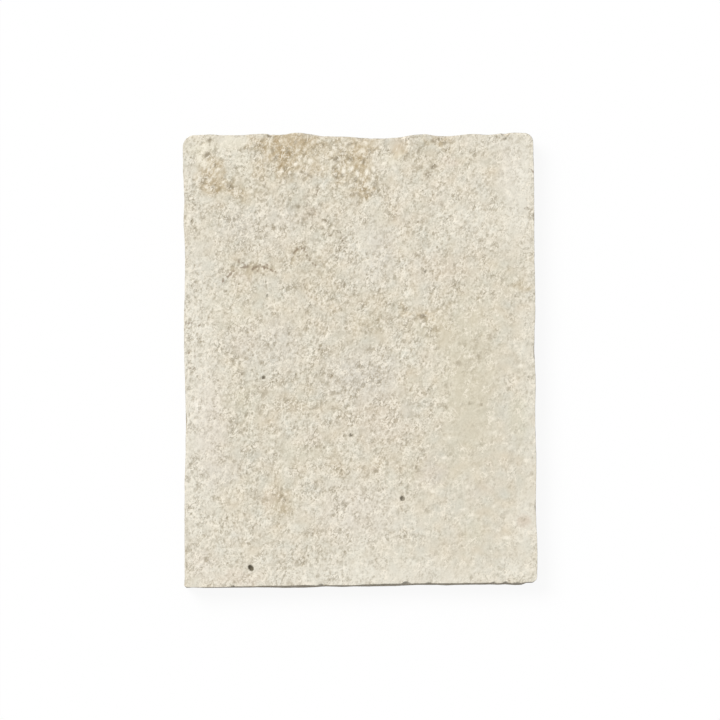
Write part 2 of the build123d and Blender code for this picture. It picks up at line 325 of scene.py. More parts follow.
# Veins and cracks, in pixels: (half width, strength, points along it)
VEINS = (
    (0.66, 0.95, ((221, 283), (225, 277), (231, 272), (236, 267), (243, 267), (249, 265))),
    (0.66, 0.90, ((252, 269), (256, 266), (260, 264), (266, 267), (272, 271), (278, 272))),
    (0.8, 0.70, ((237, 259), (241, 261), (245, 265))),
    (0.8, 0.70, ((256, 270), (262, 268), (266, 264))),
    (0.66, 0.70, ((290, 254), (296, 249), (303, 247), (307, 253), (309, 260), (316, 265))),
    (0.7, 0.50, ((318, 186), (315, 195), (306, 204), (312, 212))),
    (0.7, 0.60, ((186, 323), (192, 323), (199, 325))),
    (0.6, 0.60, ((187, 352), (192, 354), (198, 358))),
    (0.6, 0.50, ((186, 357), (191, 359), (196, 362))),
    (0.6, 0.50, ((187, 367), (193, 368), (199, 370))),
    (0.7, 0.65, ((525, 207), (529, 208), (534, 209))),
    (0.7, 0.60, ((529, 167), (532, 170), (534, 174))),
)

# Stretches of the face with less grain, or with more where the strength is below 0, in pixels:
# (x, y, half length, half width, turn in degrees, strength)
CALM = (
    (500, 480, 95, 110, 0, 0.55), (470, 370, 40, 70, 0, 0.45), (516, 168, 24, 46, 0, 0.38),
    (231, 141, 17, 8, 0, 0.70), (397, 147, 11, 9, -35, 0.90), (515, 290, 24, 70, 0, 0.30),
    (475, 230, 70, 90, 0, 0.12), (260, 470, 90, 120, 0, 0.08), (422, 565, 80, 30, 0, 0.42),
    (392, 512, 48, 26, 0, 0.22), (514, 352, 24, 32, 0, 0.38), (512, 212, 22, 26, 0, 0.16),
    (208, 243, 28, 30, 0, 0.24), (296, 320, 26, 24, 0, 0.16), (212, 480, 24, 26, 0, 0.14),
    (298, 400, 26, 24, 0, -0.32), (380, 172, 26, 24, 0, -0.16), (342, 240, 22, 22, 0, -0.16),
    (384, 360, 24, 22, 0, -0.18),
)

# An oval mark fades between two distances from its middle, where 1 is its rim: none at the first, full at the
# second. A vein fades out at this many half widths.
CALM_FADE = (1.2, 0.5)
FLAKE_FADE = (1.1, 0.75)
PIT_DIRT_AND_SHADE_FADE = (1.15, 0.75)
WASH_FADE = (1.35, 0.2)
MARK_FADE = (1.45, 0.35)
VEIN_FADE = 3

# How far noise moves the outlines of the washes, and the veins
WASH_WANDER = 3.2
VEIN_WANDER = 0.7

# Colours, 0 to 255 as on a screen
BASE = np.array([219.6, 212.2, 194.2])
WASH_COLOURS = {
    "ochre": np.array([188.0, 167.0, 131.0]),
    "grey": np.array([194.0, 185.0, 164.0]),
    "olive": np.array([215.0, 207.0, 185.0]),
    "pale": np.array([231.0, 226.0, 212.0]),
    "pink": np.array([219.0, 204.0, 186.0]),
    "cream": np.array([237.0, 230.0, 209.0]),
    "lilac": np.array([226.0, 217.0, 204.0]),
    "cool": np.array([218.0, 212.0, 200.0]),
    "plum": np.array([205.0, 194.0, 184.0]),
    "moss": np.array([213.0, 209.0, 188.0]),
}
GROUND_WASHES = ("pale", "cream", "lilac", "cool", "olive", "moss", "pink", "plum")
STAINS = ("grey", "ochre")
DOT_COLOUR = np.array([158.0, 147.0, 126.0])
STROKE_COLOUR = np.array([142.0, 130.0, 109.0])
SIDE_COLOUR = np.array([223.0, 212.0, 192.0])
FLECK_COLOUR = np.array([253.0, 246.0, 230.0])
VEIN_COLOUR = (142, 122, 102)
# Colour in the pits: partly dirt, partly painted shade of the hollow
PIT_DIRT_AND_SHADE_COLOUR = (112, 104, 87)

# Steps of colour for a spread of 1 of the grain, and of the slow changes of the ground
GRAIN_STEP = np.array([8.0, 8.6, 9.4])
SLOW_STEP = np.array([0.8, 1.0, 1.5])
HUE_STEP = np.array([1.3, -0.4, -1.8])
COOL_STEP = np.array([-0.2, 0.0, 0.7])

# Layers of noise, (size in millimetres, weight, seed): the grain that the mesh carries, its strength from
# place to place, and the hue
GRAIN_LAYERS = ((5.2, 2.5, 81), (10.4, 0.95, 82), (20.8, 0.5, 83), (41.6, 0.6, 84))
CONTRAST_LAYERS = ((15.0, 0.34, 73), (34.0, 0.15, 71))
HUE_LAYERS = ((13.0, 1.0, 93), (38.0, 0.45, 94))
LEAST_CONTRAST = 0.2

# How the grain leans and is drawn out, how its middle is flattened, and how much deeper its hollows are
GRAIN_TURN = math.radians(65)
GRAIN_STRETCH = (1.18, 0.87, 1.0)
GRAIN_FLATTENED = (0.5, 0.4)
GRAIN_HOLLOWED = 0.10
NOISE_SPREAD = 0.27

# Stains have a stronger grain under and in them, and its pale rises take up less of them, within limits
GRAIN_UNDER_STAIN = 1.2
GRAIN_IN_STAIN = 1.3
TAKEN_UP = 0.9
LESS_ON_RISES = 0.2
TAKEN_LIMITS = (0.3, 1.1)

# Finest grain, which the finish works out: how many grains lie side by side in a metre, and their weights
FINE_SCALE = 384.0
SPECK_SCALE = 620.0
DUST_SCALE = 1500.0
GRAIN_WEIGHT = 0.66
DUST_WEIGHT = 0.25
SIDE_SCALE = 150.0
SIDE_BLOTCH_SCALE = 36.0
BROKEN_SCALE = 90.0
BROKEN_WEIGHT = 6.0
CRACK_SCALE = 170.0
CRACK_WIDTH = 0.4
STREAK_SCALE = 165.0
STREAK_WIDTH = 0.3
PORE_SCALE = 150.0
FLECK_SCALE = 190.0
FLECK_SHIFT = (0.5, 0.3, 0.1)
MARK_DEPTH = -2.5
VEIN_ROUGHNESS = -0.16
VEIN_LEVELS = (0.3, 0.8)
VEIN_COVER = 0.7
ROUGHNESS = (0.94, 0.80)
GRAIN_BUMP = 0.00006
SPECULAR = 0.25

# What the finish lays over the mesh's colours: (value at which it is full, its cover there, its colour)
FINE_MARKS = {
    "dark grain": (-4.0, 1.0, (176, 164, 140)),
    "pale grain": (4.0, 1.0, (254, 246, 229)),
    # A crack's dark colour is partly painted shade, and the lip beside it is a painted highlight
    "crack_and_shade": (1.0, 0.45, (158, 147, 124)),
    "painted_lip_highlight": (1.0, 0.50, (251, 243, 227)),
    "pore": (1.0, 0.40, (160, 150, 128)),
    "fleck": (1.0, 0.50, (250, 242, 226)),
    "streak": (1.0, 0.70, (251, 243, 226)),
}

# Numbers that mix a lattice cell's place and a seed into a random number
CELL_FACTORS = (73856093, 19349663, 83492791)
SEED_FACTOR = 668265263
MIX_FACTOR = 739982445
MIX_SHIFTS = (15, 13, 16)


def lattice_values(cells, seed):
    """A fixed random number from -1 to 1 for each cell of a lattice, mixed from its three whole numbers."""
    cells = cells.astype(np.uint32)
    mixed = np.full(cells.shape[:-1], seed * SEED_FACTOR % 2**32, dtype=np.uint32)
    for axis, factor in enumerate(CELL_FACTORS):
        mixed ^= cells[..., axis] * np.uint32(factor)
    for shift in MIX_SHIFTS:
        mixed ^= mixed >> np.uint32(shift)
        mixed *= np.uint32(MIX_FACTOR)
    return mixed / 2.0**31 - 1


def stone_noise(points, cell, seed):
    """Gradient noise with a spread of about 1: each corner of a lattice of cubes holds a random slope, and
    the heights on the eight slopes round a point are blended across its cube with a smooth step."""
    scaled = points / cell
    base = np.floor(scaled)
    inside = scaled - base
    blend = inside**3 * (inside * (inside * 6 - 15) + 10)
    base = base.astype(np.int64)
    total = 0.0
    for corner in itertools.product((0, 1), repeat=3):
        share = np.prod(np.where(corner, blend, 1 - blend), axis=-1)
        away = inside - corner
        height = sum(lattice_values(base + corner, seed + 31 * axis) * away[..., axis] for axis in range(3))
        total = total + share * height
    return total / NOISE_SPREAD


def layered_noise(points, level, layers):
    """A level with layers of noise on it. Each layer has its size, its weight and its seed."""
    return sum((weight * stone_noise(points, size, seed) for size, weight, seed in layers), level)


def slanted(points):
    """Points turned and stretched so that noise over them has strokes that lean like the grain."""
    cos, sin = math.cos(GRAIN_TURN), math.sin(GRAIN_TURN)
    along = points[..., 0] * cos + points[..., 1] * sin
    across = points[..., 1] * cos - points[..., 0] * sin
    return np.stack([along, across, points[..., 2]], axis=-1) / GRAIN_STRETCH


def smooth_step(value, low, high):
    """0 below low, 1 above high, with an S-curve between. Low may be the larger."""
    share = np.clip((value - low) / (high - low), 0, 1)
    return share * share * (3 - 2 * share)


def on_face(pixel_x, pixel_y):
    """The point of the walking face, in millimetres, that the camera shows at a pixel of the picture."""
    across = (pixel_x + 0.5 - SLAB_CENTRE_PIXEL[0]) * MM_PER_PIXEL
    up = (SLAB_CENTRE_PIXEL[1] - pixel_y - 0.5) * MM_PER_PIXEL / math.cos(TILT)
    cos, sin = math.cos(TURN), math.sin(TURN)
    return across * cos + up * sin, up * cos - across * sin


def oval_distance(points, x, y, half_length, half_width, turn):
    """Distance from the middle of a turned oval, where 1 is its rim."""
    angle = math.radians(turn)
    dx, dy = points[..., 0] - x, points[..., 1] - y
    along = dx * math.cos(angle) + dy * math.sin(angle)
    across = dy * math.cos(angle) - dx * math.sin(angle)
    return np.hypot(along / half_length, across / half_width)


def soft_oval(points, oval, fade):
    """Cover of an oval that is written in pixels, 1 in its middle and 0 outside, with its fade between."""
    x, y, half_length, half_width, turn = oval
    middle = on_face(x, y)
    off = oval_distance(points, *middle, half_length * MM_PER_PIXEL, half_width * MM_PER_PIXEL, turn)
    return smooth_step(off, *fade)


def crowded_shares(count, length, places):
    """Shares from 0 to 1 that stand closer together near the given places: the running sum of a density that
    is 1 plus a bell-shaped extra at each place, turned into even steps."""
    at = np.linspace(0, length, CROWD_STEPS)
    density = 1 + sum(CROWD_EXTRA * np.exp(-(((at - place) / CROWD_REACH) ** 2)) for place in places)
    run = np.concatenate([[0], np.cumsum((density[1:] + density[:-1]) / 2)])
    return np.interp(np.linspace(0, run[-1], count), run, at / length)


def solid_outline():
    """The slab's outline in plan, anticlockwise: the ring of the solid's vertices at the top of its bed
    arris, put in order by angle round the middle."""
    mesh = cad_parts[NODE].data
    points = np.empty(len(mesh.vertices) * 3)
    mesh.vertices.foreach_get("co", points)
    points = points.reshape(-1, 3) / MM
    on_ring = np.abs(points[:, 2] - BED_ARRIS) < BED_ARRIS / 8
    ring = np.unique(points[on_ring, :2].round(2), axis=0)
    return ring[np.argsort(np.arctan2(ring[:, 1], ring[:, 0]))]


def edge_stations(ring, shares_x, shares_y):
    """Points at the given shares along the near, right, far and left edges, each from its left or near end.
    An edge runs between two corners, the points that reach furthest along the diagonals."""
    run = np.concatenate([[0], np.cumsum(np.hypot(*np.diff(np.vstack([ring, ring[:1]]), axis=0).T))])
    total = run[-1]
    x, y = ring.T
    near_left, near_right, far_right, far_left = (
        run[index] for index in (np.argmin(x + y), np.argmax(x - y), np.argmax(x + y), np.argmin(x - y))
    )

    def walk(start, end, shares):
        at = start + ((end - start) % total) * shares
        return np.stack([np.interp(at, run[:-1], values, period=total) for values in (x, y)], axis=-1)

    return {
        "near": walk(near_left, near_right, shares_x),
        "right": walk(near_right, far_right, shares_y),
        "far": walk(far_right, far_left, 1 - shares_x),
        "left": walk(far_left, near_left, 1 - shares_y),
    }


def round_loop(edges):
    """One closed row from the four edges, anticlockwise from the near left corner, each corner once."""
    near, right, far, left = edges["near"], edges["right"], edges["far"], edges["left"]
    return np.concatenate([near[:-1], right[:-1], far[:0:-1], left[:0:-1]])


def edge_rows(loop):
    """The four edges of a closed row again, each from its left or near end, with both its corners."""
    right_start = FACE_COLUMNS - 1
    far_start = right_start + FACE_ROWS - 1
    left_start = far_start + FACE_COLUMNS - 1
    return {
        "near": loop[: right_start + 1],
        "right": loop[right_start : far_start + 1],
        "far": loop[far_start : left_start + 1][::-1],
        "left": np.concatenate([loop[left_start:], loop[:1]])[::-1],
    }


def outward_normals(loop):
    """Unit normals of a closed anticlockwise row: its central differences, turned to face out."""
    along = np.roll(loop, -1, axis=0) - np.roll(loop, 1, axis=0)
    normals = np.stack([along[:, 1], -along[:, 0]], axis=-1)
    return normals / np.linalg.norm(normals, axis=-1, keepdims=True)


def per_edge(values, shares_x, shares_y):
    """A closed row with one value for each edge, eased from one to the next by a running mean."""
    counts = {"near": shares_x, "right": shares_y, "far": shares_x, "left": shares_y}
    row = round_loop({name: np.full(len(shares), values[name]) for name, shares in counts.items()})
    return sum(np.roll(row, step) for step in range(-CORNER_EASE, CORNER_EASE + 1)) / (2 * CORNER_EASE + 1)


def chip_rows(shares_x, shares_y):
    """How far the chips reach in and drop along the closed row: a parabola over each chip's length, and the
    larger one wherever two meet."""
    reach = {"near": shares_x * 0, "right": shares_y * 0, "far": shares_x * 0, "left": shares_y * 0}
    drop = dict(reach)
    for name, share, length, chip_reach, chip_drop in CHIPS:
        edge_length, shares = (WIDTH, shares_x) if name in ("near", "far") else (LENGTH, shares_y)
        bowl = np.clip(1 - ((shares - share) * edge_length / (length / 2)) ** 2, 0, None)
        reach[name] = np.maximum(reach[name], chip_reach * bowl)
        drop[name] = np.maximum(drop[name], chip_drop * bowl)
    return round_loop(reach), round_loop(drop)


def lean_rows(shares_x, shares_y):
    """How far the top of the side stands out, and its foot is set in, along the closed row. Only the near
    side leans, and the left and right ones start with its depth and lose it a little way from the corner."""
    places, *depths = zip(*NEAR_LEAN)
    left_over = np.clip(1 - shares_y / LEAN_END, 0, None)
    return [
        round_loop({
            "near": np.interp(shares_x, places, depth), "right": depth[-1] * left_over,
            "far": shares_x * 0, "left": depth[0] * left_over,
        })
        for depth in depths
    ]


def worn_in(points, rough):
    """How far tumbling has eaten into the sides at each point: layers of noise, by how rough the edge is."""
    return rough * np.clip(layered_noise(points, WEAR_MEAN, WEAR_LAYERS), 0, None)


def filled_patch(edges, left_pull, right_pull, near_pull, far_pull):
    """A grid filled in between four edges: each edge's own row at every place across, by the pull that it has
    there, for the two pairs of facing edges, less what the corners then count twice. A pull is 1 on its own
    edge and about 0 on the facing one."""
    at_left, at_right = left_pull[None, :, None], right_pull[None, :, None]
    at_near, at_far = near_pull[:, None, None], far_pull[:, None, None]
    near, far = edges["near"][None], edges["far"][None]
    left, right = edges["left"][:, None], edges["right"][:, None]
    corners = at_near * (at_left * near[:, :1] + at_right * near[:, -1:])
    corners = corners + at_far * (at_left * far[:, :1] + at_right * far[:, -1:])
    return at_near * near + at_far * far + at_left * left + at_right * right - corners


def faded(shares, length):
    """The pull of a worn rim over a run of that length: 1 at its start, and less and less further in."""
    return np.exp(-shares * length / RIM_FADE)


def grain_contrast(points):
    """How strong the grain is at each point: about 1, uneven in patches, and less in the calm stretches."""
    contrast = np.clip(layered_noise(points, 1, CONTRAST_LAYERS), LEAST_CONTRAST, None)
    for *oval, strength in CALM:
        contrast = contrast * (1 - strength * soft_oval(points, oval, CALM_FADE))
    return contrast


def grain(points):
    """The stone's grain, with a spread of about 1: layers of slanted noise, each with its weight. It is bent
    so that the middling stretches are flatter, and the dark hollows deeper than the pale rises are high."""
    total = layered_noise(slanted(points), 0, GRAIN_LAYERS)
    total = total / math.sqrt(sum(weight**2 for _, weight, _ in GRAIN_LAYERS))
    at_middle, further_out = GRAIN_FLATTENED
    total = total * (at_middle + further_out * np.abs(total))
    return total - GRAIN_HOLLOWED * (total**2 - 1)


def face_height(points):
    """Height of the walking face over its sawn plane: a slow swell, the relief of the grain, the flakes at
    the far edge, and the bowl of each pit."""
    flat = np.concatenate([points[..., :2], np.full_like(points[..., :1], THICKNESS)], axis=-1)
    relief = GRAIN_RELIEF * grain_contrast(flat) * grain(flat)
    height = SWELL_HEIGHT * stone_noise(flat, SWELL_SIZE, 11) + relief - FACE_SUNK
    for *oval, depth in FLAKES:
        height = height - depth * soft_oval(points, oval, FLAKE_FADE)
    for x, y, length, width, depth, turn, _ in PITS:
        off = oval_distance(points, x, y, length / 2, width / 2, turn)
        height = height - depth * np.clip(1 - off**2, 0, None) ** PIT_ROUNDNESS
    return height


def slab_surface():
    """The whole skin of the slab as one closed surface: a grid over the walking face, a section carried round
    the outline from the face's rim over the arris and down the side to the bed, and rings that close the bed.
    Returns points in millimetres, quads, triangles and, for each point, whether it is on the walking face
    or the start of its arris."""
    pit_x = [row[0] + WIDTH / 2 for row in PITS[:LARGE_PITS]]
    pit_y = [row[1] + LENGTH / 2 for row in PITS[:LARGE_PITS]]
    shares_x = crowded_shares(FACE_COLUMNS, WIDTH, [0, WIDTH] + pit_x)
    shares_y = crowded_shares(FACE_ROWS, LENGTH, [0, LENGTH] + pit_y)
    loop = round_loop(edge_stations(solid_outline(), shares_x, shares_y))
    normals = outward_normals(loop)
    level = np.concatenate([loop, np.full((len(loop), 1), THICKNESS)], axis=-1)

    chip_reach, chip_drop = chip_rows(shares_x, shares_y)
    nick = smooth_step(stone_noise(level, 8.0, 33), *NICK_LEVELS)
    arris = per_edge(ARRIS_REACH, shares_x, shares_y)
    uneven_reach = 1 + ARRIS_UNEVEN * stone_noise(level, 6.0, 31) + nick
    uneven_drop = 1 + ARRIS_UNEVEN * stone_noise(level, 7.0, 37) + 2 * nick
    reach = arris * np.clip(uneven_reach, LEAST_ARRIS, None) + chip_reach
    drop = arris * np.clip(uneven_drop, LEAST_ARRIS, None) + chip_drop
    scooped = np.clip(chip_reach / FLAT_CHIP_REACH, 0, 1)
    rough = per_edge(EDGE_ROUGHNESS, shares_x, shares_y)
    top_out, foot_in = lean_rows(shares_x, shares_y)

    rim = loop + normals * (top_out - reach - worn_in(level, rough))[:, None]
    grid = filled_patch(edge_rows(loop), 1 - shares_x, shares_x, 1 - shares_y, shares_y)
    grid = grid + filled_patch(
        edge_rows(rim - loop), faded(shares_x, WIDTH), faded(1 - shares_x, WIDTH),
        faded(shares_y, LENGTH), faded(1 - shares_y, LENGTH),
    )
    height = THICKNESS + face_height(grid)
    face = np.concatenate([grid, height[..., None]], axis=-1)
    rim_height = round_loop({
        "near": height[0], "right": height[:, -1], "far": height[-1], "left": height[:, 0],
    })

    # Section over the arris: a quarter of an oval where it is worn, a straight line where a chip has left
    turn = np.linspace(0, math.pi / 2, ARRIS_ROWS + 1)[1:, None]
    flat = turn / (math.pi / 2)
    inset = reach * ((1 - scooped) * (1 - np.sin(turn)) + scooped * (1 - flat))
    below = drop * ((1 - scooped) * (1 - np.cos(turn)) + scooped * flat)
    # Section down the side to the bed arris
    down = np.linspace(0, 1, SIDE_ROWS + 1)[1:, None]
    side_z = (rim_height - drop) * (1 - down) + BED_ARRIS * down
    section_z = np.concatenate([rim_height - below, side_z])
    section_in = np.concatenate([inset, np.zeros_like(side_z)])
    section_in = section_in + foot_in - (foot_in + top_out) * np.clip(section_z / THICKNESS, 0, 1)
    band = np.concatenate([
        loop[None] - normals[None] * section_in[..., None], section_z[..., None],
    ], axis=-1)
    under = smooth_step(THICKNESS - section_z, *BROKEN_DEPTHS) * smooth_step(section_z, *BROKEN_HEIGHTS)
    band[..., :2] -= normals[None] * worn_in(band, rough * (1 + BROKEN_EXTRA * under))[..., None]

    # Bed: the chamfered rim, then rings towards the middle
    bed_rim = loop - normals * (BED_ARRIS + rough * WEAR_MEAN + foot_in)[:, None]
    bed = np.stack([bed_rim * scale for scale in (1.0, *BED_RINGS)])
    bed = np.concatenate([bed, np.zeros_like(bed[..., :1])], axis=-1)

    points = np.concatenate([face.reshape(-1, 3), band.reshape(-1, 3), bed.reshape(-1, 3), [[0, 0, 0]]])
    index = np.arange(FACE_ROWS * FACE_COLUMNS).reshape(FACE_ROWS, FACE_COLUMNS)
    rim_index = round_loop({"near": index[0], "right": index[:, -1], "far": index[-1], "left": index[:, 0]})
    ring_count = len(band) + len(bed)
    ring_index = index.size + np.arange(ring_count * len(loop)).reshape(ring_count, len(loop))
    rows = np.concatenate([rim_index[None], ring_index])
    face_quads = np.stack([index[:-1, :-1], index[:-1, 1:], index[1:, 1:], index[1:, :-1]], axis=-1)
    after = np.roll(rows, -1, axis=1)
    band_quads = np.stack([rows[:-1], rows[1:], after[1:], after[:-1]], axis=-1)
    quads = np.concatenate([face_quads.reshape(-1, 4), band_quads.reshape(-1, 4)])
    middle = np.full(len(loop), len(points) - 1)
    triangles = np.stack([rows[-1], middle, after[-1]], axis=-1)

    on_top = np.zeros(len(points))
    on_top[: index.size + FACE_BAND_ROWS * len(loop)] = 1
    return points, quads, triangles, on_top


def line_distance(points, corners):
    """Distance in plan from a line through the given points: the least one to any of its straight runs."""
    nearest = np.full(points.shape[:-1], np.inf)
    for (x0, y0), (x1, y1) in zip(corners[:-1], corners[1:]):
        run = np.array([x1 - x0, y1 - y0])
        from_start = points[..., :2] - (x0, y0)
        share = np.clip(from_start @ run / (run @ run), 0, 1)
        nearest = np.minimum(nearest, np.linalg.norm(from_start - share[..., None] * run, axis=-1))
    return nearest


def linear(colours):
    """Colours written in the 0 to 255 of a screen, as Blender's linear ones."""
    values = np.clip(np.asarray(colours, dtype=float) / 255, 0, 1)
    return np.where(values <= 0.04045, values / 12.92, ((values + 0.055) / 1.055) ** 2.4)


def over(colours, layer, cover):
    """One colour laid over others by its cover, 0 to 1, at each point."""
    cover = np.clip(cover, 0, 1)[:, None]
    return colours * (1 - cover) + layer * cover


def stone_colours(points, on_top):
    """Colour of the stone at each point, without its finest grain. Each wash fades from the middle of its
    oval to the rim. Noise moves the ovals' outlines, and the grain breaks up the stains: pale rises stay
    cleaner."""
    slow = stone_noise(points, 60.0, 91)[:, None]
    cool = stone_noise(points, 20.0, 95)[:, None]
    hue = layered_noise(points, 0, HUE_LAYERS)[:, None]
    rise = grain(points) * on_top
    colours = BASE + slow * SLOW_STEP + hue * HUE_STEP + cool * COOL_STEP
    colours = over(colours, SIDE_COLOUR, 1 - on_top)
    moved = points.copy()
    moved[:, 0] += WASH_WANDER * stone_noise(points, 9.0, 51)
    moved[:, 1] += WASH_WANDER * stone_noise(points, 9.0, 52)
    covers = {}
    for kind, ovals in WASHES.items():
        left_bare = np.ones(len(points))
        for *oval, cover in ovals:
            left_bare = left_bare * (1 - cover * soft_oval(moved, oval, WASH_FADE))
        covers[kind] = 1 - left_bare
    for kind in GROUND_WASHES:
        colours = over(colours, WASH_COLOURS[kind], covers[kind] * on_top)
    strength = grain_contrast(points) * (1 + GRAIN_UNDER_STAIN * covers["ochre"])
    colours = colours + (rise * strength)[:, None] * GRAIN_STEP
    taken_up = np.clip(TAKEN_UP - LESS_ON_RISES * rise, *TAKEN_LIMITS) * on_top
    for kind in STAINS:
        stain = WASH_COLOURS[kind] + GRAIN_IN_STAIN * rise[:, None] * GRAIN_STEP
        colours = over(colours, stain, covers[kind] * taken_up)
    dots = [(x, y, radius, radius, 0, cover) for x, y, radius, cover in DOTS]
    for colour, rows in ((DOT_COLOUR, dots), (STROKE_COLOUR, STROKES), (FLECK_COLOUR, FLECKS)):
        for *oval, cover in rows:
            colours = over(colours, colour, cover * on_top * soft_oval(points, oval, MARK_FADE))
    return colours


def stone_marks(points, on_top):
    """What the finish needs to know of each point besides its colour: how strong the grain is, how far inside
    a vein it lies, how much of a pit's dark colour of dirt and painted shade it takes, and whether it is on
    a side or the bed. Noise makes the veins wander."""
    strayed = points.copy()
    strayed[:, 0] += VEIN_WANDER * stone_noise(points, 4.0, 61)
    strayed[:, 1] += VEIN_WANDER * stone_noise(points, 4.0, 62)
    vein = np.zeros(len(points))
    for half_width, strength, corners in VEINS:
        off = line_distance(strayed, [on_face(x, y) for x, y in corners]) / (half_width * MM_PER_PIXEL)
        vein = np.maximum(vein, strength * np.clip(1 - off / VEIN_FADE, 0, None))
    # How much of the pits' dark colour each point takes: dirt, and painted shade of the hollow
    pit_dirt_and_shade = np.zeros(len(points))
    for x, y, length, width, _, turn, dirt_and_shade in PITS:
        off = oval_distance(points, x, y, length / 2, width / 2, turn)
        pit_dirt_and_shade = np.maximum(pit_dirt_and_shade, dirt_and_shade * smooth_step(off, *PIT_DIRT_AND_SHADE_FADE))
    return {
        "contrast": grain_contrast(points) * on_top,
        "vein": vein * on_top,
        "pit_dirt_and_shade": pit_dirt_and_shade * on_top,
        "side": 1 - on_top,
    }


def make_slab():
    """The slab's mesh, with its colours and marks as attributes."""
    points, quads, triangles, on_top = slab_surface()
    mesh = bpy.data.meshes.new("slab_stone")
    mesh.from_pydata((points * MM).tolist(), [], quads.tolist() + triangles.tolist())
    for name, values in stone_marks(points, on_top).items():
        mesh.attributes.new(name, "FLOAT", "POINT").data.foreach_set("value", values.astype(np.float32))
    colours = np.ones((len(points), 4), dtype=np.float32)
    colours[:, :3] = linear(stone_colours(points, on_top))
    mesh.attributes.new("stone", "FLOAT_COLOR", "POINT").data.foreach_set("color", colours.ravel())
    mesh.shade_smooth()
    slab = bpy.data.objects.new("slab_stone", mesh)
    bpy.context.scene.collection.objects.link(slab)
    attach(slab, "root")
    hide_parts(NODE)
    return slab


def tone(red, green, blue):
    """A colour written in the 0 to 255 of a screen, for a node."""
    return (*linear([red, green, blue]), 1.0)


def place(tree, kind, inputs=None, **settings):
    """A node with its settings and inputs: an input is a socket to link or a value to set."""
    node = tree.nodes.new(kind)
    for name, value in settings.items():
        setattr(node, name, value)
    for name, value in (inputs or {}).items():
        if isinstance(value, bpy.types.NodeSocket):
            tree.links.new(value, node.inputs[name])
        else:
            node.inputs[name].default_value = value
    return node


def calculate(tree, operation, first, second=0.0):
    """One sum of two values."""
    return place(tree, "ShaderNodeMath", {0: first, 1: second}, operation=operation).outputs[0]


def times(tree, first, second):
    """Two values multiplied."""
    return calculate(tree, "MULTIPLY", first, second)


def plus(tree, value, added, weight=1.0):
    """A value, and another one added by its weight."""
    return calculate(tree, "ADD", value, times(tree, added, weight))


def blend_colour(tree, factor, first, second):
    """The second colour laid over the first by the factor."""
    return place(tree, "ShaderNodeMix", {0: factor, 6: first, 7: second}, data_type="RGBA").outputs[2]


def remap(tree, value, low, high, to_low=0.0, to_high=1.0, kind="SMOOTHSTEP"):
    """A value carried from one range to another, kept inside it."""
    inputs = {"Value": value, "From Min": low, "From Max": high, "To Min": to_low, "To Max": to_high}
    return place(tree, "ShaderNodeMapRange", inputs, interpolation_type=kind).outputs[0]


def noise(tree, vector, scale, detail=0.0):
    """Blender's noise, centred on 0 with a spread of about 1."""
    inputs = {"Vector": vector, "Scale": scale, "Detail": detail}
    value = place(tree, "ShaderNodeTexNoise", inputs).outputs[0]
    return times(tree, calculate(tree, "SUBTRACT", value, 0.5), 7.0)


def cells(tree, vector, scale):
    """Scattered specks, 1 in their middle and 0 outside: one round the seed of each cell, with its own size.
    Noise makes their outlines uneven."""
    shake = place(tree, "ShaderNodeTexNoise", {"Vector": vector, "Scale": 3.0 * scale}).outputs["Color"]
    moves = {0: shake, 1: (0.5 / scale,) * 3, 2: vector}
    shaken = place(tree, "ShaderNodeVectorMath", moves, operation="MULTIPLY_ADD").outputs[0]
    scattered = place(tree, "ShaderNodeTexVoronoi", {"Vector": shaken, "Scale": scale})
    size = place(tree, "ShaderNodeSeparateColor", {0: scattered.outputs["Color"]}).outputs[0]
    return remap(tree, plus(tree, scattered.outputs["Distance"], size, 0.3), 0.44, 0.28)


def strokes(tree, vector, scale, width):
    """Short curved strokes and the painted highlights beside them, where light would catch a crack's lip: the
    lines where a noise is near 0, within the width, or near a level a little above it, wherever a slower
    noise is high."""
    line = noise(tree, vector, scale, 2.5)
    here = remap(tree, noise(tree, vector, 0.45 * scale, 2.0), 0.1, 0.8)
    stroke = remap(tree, calculate(tree, "ABSOLUTE", line), width, 0.05)
    beside = calculate(tree, "ABSOLUTE", calculate(tree, "SUBTRACT", line, 0.65))
    painted_lip_highlight = remap(tree, beside, width, 0.05)
    return times(tree, stroke, here), times(tree, painted_lip_highlight, here)


def mark(tree, name, output="Fac"):
    """One of the mesh's attributes."""
    return place(tree, "ShaderNodeAttribute", attribute_name=name).outputs[output]


